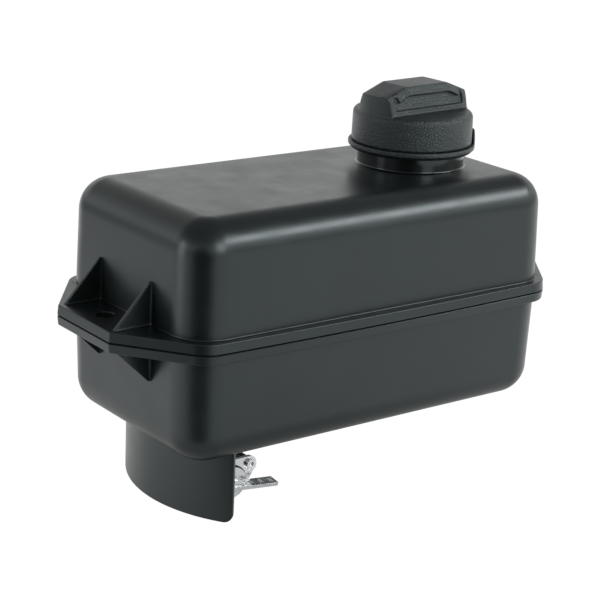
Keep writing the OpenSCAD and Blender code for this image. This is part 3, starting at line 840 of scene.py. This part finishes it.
def tether_ring():
    """Ring round the cap's foot, with an upright tab that leans on the cap's side."""
    low, high = RING_LOW, RING_LOW + 4.7
    inner, outer = 37.5, 40.6
    profile = [(inner, low + 0.2), (inner + 0.3, low), (38.6, low), (outer, low + 2),
               (outer, high - 0.6), (outer - 0.6, high), (inner, high)]
    ring = turned("tether_ring_body", profile, (FILLER_X, FILLER_Y, 0))
    tab_turn = math.radians(-25)
    tab_half = 13
    tab_top = box_mm("tether_ring")[1][2]
    tab_inner, tab_foot = 39.1, low + 2.5
    chamfer = 0.4
    sunk = 0.5              # how far the tab's sides start below the ring's top
    steps = 16
    rings = []
    for step in range(-steps, steps + 1):
        turn = tab_turn + tab_half * step / steps / outer
        rise = min(1.0, (1 - abs(step) / steps) * 1.75)
        top = high - sunk + (tab_top - high + sunk) * rise ** 0.8
        shape = [(tab_inner, tab_foot), (outer, tab_foot), (outer, top - chamfer),
                 (outer - chamfer, top), (tab_inner + chamfer, top), (tab_inner, top - chamfer)]
        rings.append([(FILLER_X + r * math.cos(turn), FILLER_Y + r * math.sin(turn), z)
                      for r, z in shape])
    tab = skin("tab", [centre_of(rings[0])] + rings + [centre_of(rings[-1])])
    combined(ring, [tab], "UNION")
    moulded(ring, 0.35, 2)
    return [(shaded(ring, GRAINED_CAP, crease=70), "tether_ring")]


# ---- Everything in its place ----

SLOT_FINISH = {
    "tank_plastic": SATIN_TANK, "cap_plastic": GRAINED_CAP, "neck_plastic": VALVE_NYLON,
    "natural_plastic": NATURAL_PE, "seat_plastic": WHITE_PTFE, "seal_rubber": NITRILE,
    "bright_steel": TURNED_STEEL, "polished_steel": POLISHED, "zinc_plate": ZINC, "brass": BRASS,
}
node_slot = {part["node"]: part["material_slot"] for part in frame["record"]["subparts"]}
node_body = {node: body for body, nodes in frame["record"]["behaviour"]["bodies"].items()
             for node in nodes}

for node, carried in frame["nodes"].items():
    carried.data.materials.clear()
    carried.data.materials.append(SLOT_FINISH[node_slot[node]])

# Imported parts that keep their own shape: how far their edges are rounded, and their finish
EDGED_PARTS = (
    ("valve_plate", 0.3, ZINC), ("plate_screws", 0.25, ZINC), ("lever_bar", 0.3, ZINC),
    ("lever_hub", 0.25, TURNED_STEEL), ("lever_pin", 0.15, TURNED_STEEL),
    ("valve_stem", 0.15, TURNED_STEEL), ("hose_nipple", 0.4, BRASS),
    # The thrust washer is black nitrile: a real washer, and also a dark ring that paints shade into
    # the gap behind the lever hub
    ("return_nipple", 0.4, BRASS), ("thrust_washer", 0.1, NITRILE),
)


def roll_bar(piece):
    """Rolls the lever bar a little about its length."""
    centre = Vector(middle("lever_bar")) * MM
    roll = Matrix.Rotation(math.radians(BAR_ROLL), 4, "X")
    piece.data.transform(Matrix.Translation(centre) @ roll @ Matrix.Translation(-centre))


made = tank_pieces() + port_bosses() + baffle_ribs() + shield()
made += neck_pieces() + cap_cover() + tether_ring()
made += [(rounded_copy(node, edge_mm, material), node) for node, edge_mm, material in EDGED_PARTS]
made.append((moulded_copy("valve_body", 0.45, VALVE_NYLON), "valve_body"))
roll_bar(next(piece for piece, node in made if node == "lever_bar"))
for piece, node in made:
    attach(piece, node_body[node])
    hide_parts(node)


# ---- Studio ----
# Black gloss shows what it mirrors. So the room is bright at eye level, dim overhead and dark
# towards one side, and the floor glows in reflections with painted light: painted shade under
# the tank and towards the left, and a painted bright patch.

DARK_WAY = (-0.743, -0.669, -0.1)   # towards the unlit side of the room
PAINTED_PATCH_WAY = (-0.97, 0.24, 0.0)      # towards a painted bright patch of light on the floor, on the left
FLOOR_DROP = 90                     # from the lowest nipple down to the floor, in millimetres
FLOOR_SEEN = 1.02                   # how bright the floor is to the camera

# The camera's turns, its aim and distance in millimetres, and its lens
CAMERA_TURN = math.radians(-37.31)
CAMERA_LIFT = math.radians(17.495)
CAMERA_ROLL = math.radians(2.564)
CAMERA_AIM = (-6.36, 1.96, -1.29)
CAMERA_DISTANCE = 1132.07
CAMERA_LENS = 107.57


def towards(tree, way, aim):
    """How nearly one way points towards another: 1 is straight at it."""
    flat = add_node(tree, "ShaderNodeVectorMath", {0: way}, operation="NORMALIZE")
    facing = add_node(tree, "ShaderNodeVectorMath", {0: flat.outputs[0], 1: aim},
                      operation="DOT_PRODUCT")
    return facing.outputs["Value"]


def room_level(tree, way, measure, start, full, low, high):
    """Brightness from low to high as a measure goes from start to full; dark on the unlit side."""
    unlit = add_node(tree, "ShaderNodeMapRange",
                     {"Value": towards(tree, way, DARK_WAY), "From Min": 0.82, "From Max": 0.97,
                      "To Min": 1.0, "To Max": 0.05}, interpolation_type="SMOOTHSTEP")
    band = add_node(tree, "ShaderNodeMapRange",
                    {"Value": measure, "From Min": start, "From Max": full, "To Min": low,
                     "To Max": high}, interpolation_type="SMOOTHSTEP")
    level = add_node(tree, "ShaderNodeMath", {0: unlit.outputs[0], 1: band.outputs[0]},
                     operation="MULTIPLY")
    return level.outputs[0]


def painted_floor_light(tree):
    """Painted light on the floor in reflections: painted shade under the tank and towards the left,
    with one painted bright patch.
    """
    place = add_node(tree, "ShaderNodeTexCoord").outputs["Object"]
    reach = add_node(tree, "ShaderNodeVectorMath", {0: place}, operation="LENGTH")
    # painted shade: the floor glows dimmer close under the tank and on the unlit side
    level = room_level(tree, place, reach.outputs["Value"], start=0.15, full=0.6, low=0.3, high=1.1)
    sides = add_node(tree, "ShaderNodeSeparateXYZ", {0: place})
    # painted shade: the floor glows dimmer towards the left
    tilt = add_node(tree, "ShaderNodeMapRange", {"Value": sides.outputs["X"], "From Min": -1.0,
                                                 "From Max": -0.2, "To Min": 0.45, "To Max": 1.1})
    # painted light: a brighter patch of floor on the left
    patch = add_node(tree, "ShaderNodeMapRange",
                     {"Value": towards(tree, place, PAINTED_PATCH_WAY), "From Min": 0.75,
                      "From Max": 0.98, "To Min": 0.0, "To Max": 0.45},
                     interpolation_type="SMOOTHSTEP")
    tilted = add_node(tree, "ShaderNodeMath", {0: level, 1: tilt.outputs[0]}, operation="MULTIPLY")
    return add_node(tree, "ShaderNodeMath", {0: tilted.outputs[0], 1: patch.outputs[0]},
                    operation="ADD").outputs[0]


def studio_floor():
    """White paper that glows evenly to the camera and is clear from below; in reflections it glows
    with painted shade and a painted bright patch.
    """
    size = 8000
    z = LOWEST - FLOOR_DROP
    corners = [(-size, -size, z), (size, -size, z), (size, size, z), (-size, size, z)]
    floor = mesh_piece("studio_floor", corners, [[0, 1, 2, 3]])
    material = bpy.data.materials.new("white_floor_painted_light")
    material.use_nodes = True
    tree = material.node_tree
    tree.nodes.clear()
    seen = add_node(tree, "ShaderNodeLightPath").outputs["Is Camera Ray"]
    # the camera sees an even glow; reflections see the painted floor light
    strength = add_node(tree, "ShaderNodeMix", {"Factor": seen, "A": painted_floor_light(tree),
                                                "B": FLOOR_SEEN})
    glow = add_node(tree, "ShaderNodeEmission", {"Strength": strength.outputs[0]})
    clear = add_node(tree, "ShaderNodeBsdfTransparent")
    below = add_node(tree, "ShaderNodeNewGeometry").outputs["Backfacing"]
    sheet = add_node(tree, "ShaderNodeMixShader", {0: below, 1: glow.outputs[0],
                                                   2: clear.outputs[0]})
    add_node(tree, "ShaderNodeOutputMaterial", {"Surface": sheet.outputs[0]})
    floor.data.materials.append(material)
    if floor.data.polygons[0].normal.z < 0:
        floor.data.flip_normals()


def studio_camera():
    """A long lens, looking slightly down at the outlet end."""
    lens = bpy.data.cameras.new("studio_camera")
    lens.sensor_width = 36
    lens.lens = CAMERA_LENS
    lens.clip_start = 0.05
    lens.clip_end = 50
    camera = set_out("studio_camera", lens)
    turn = (Matrix.Rotation(CAMERA_TURN, 4, "Z")
            @ Matrix.Rotation(math.pi / 2 - CAMERA_LIFT, 4, "X")
            @ Matrix.Rotation(CAMERA_ROLL, 4, "Z"))
    away = turn @ Vector((0, 0, CAMERA_DISTANCE))
    camera.matrix_world = Matrix.Translation((Vector(CAMERA_AIM) + away) * MM) @ turn
    bpy.context.scene.camera = camera


def softbox(name, place, aim, width, height, power):
    """A soft rectangular light at a place, facing its aim: metres and watts."""
    light = bpy.data.lights.new(name, "AREA")
    light.shape = "RECTANGLE"
    light.size = width
    light.size_y = height
    light.energy = power
    lamp = set_out(name, light)
    lamp.location = place
    lamp.rotation_euler = (Vector(aim) - Vector(place)).to_track_quat("-Z", "Y").to_euler()


def studio_room():
    """White walls at eye level, dimmer close to the floor, and a dim ceiling."""
    world = bpy.data.worlds.new("white_studio")
    bpy.context.scene.world = world
    world.use_nodes = True
    tree = world.node_tree
    tree.nodes.clear()
    way = add_node(tree, "ShaderNodeTexCoord").outputs["Generated"]
    height = add_node(tree, "ShaderNodeSeparateXYZ", {0: way}).outputs["Z"]
    level = room_level(tree, way, height, start=0.68, full=0.1, low=0.36, high=1.8)
    sill = add_node(tree, "ShaderNodeMapRange", {"Value": height, "From Min": 0.05,
                                                 "From Max": 0.2, "To Min": 0.3, "To Max": 1.0})
    lit = add_node(tree, "ShaderNodeMath", {0: level, 1: sill.outputs[0]}, operation="MULTIPLY")
    glow = add_node(tree, "ShaderNodeBackground", {"Strength": lit.outputs[0]})
    add_node(tree, "ShaderNodeOutputWorld", {"Surface": glow.outputs[0]})


studio_floor()
studio_camera()
studio_room()
softbox("front_strip", (0.85, -0.85, 0.8), (0, 0, 0.05), width=1.1, height=0.28, power=11)
softbox("left_box", (-0.95, 0.27, 0.12), (0, 0, 0.12), width=0.3, height=0.6, power=1.4)
softbox("front_box", (0.05, -1.4, 0.6), (0, 0, 0.05), width=0.6, height=0.7, power=7)
bpy.context.scene.view_settings.view_transform = "Standard"
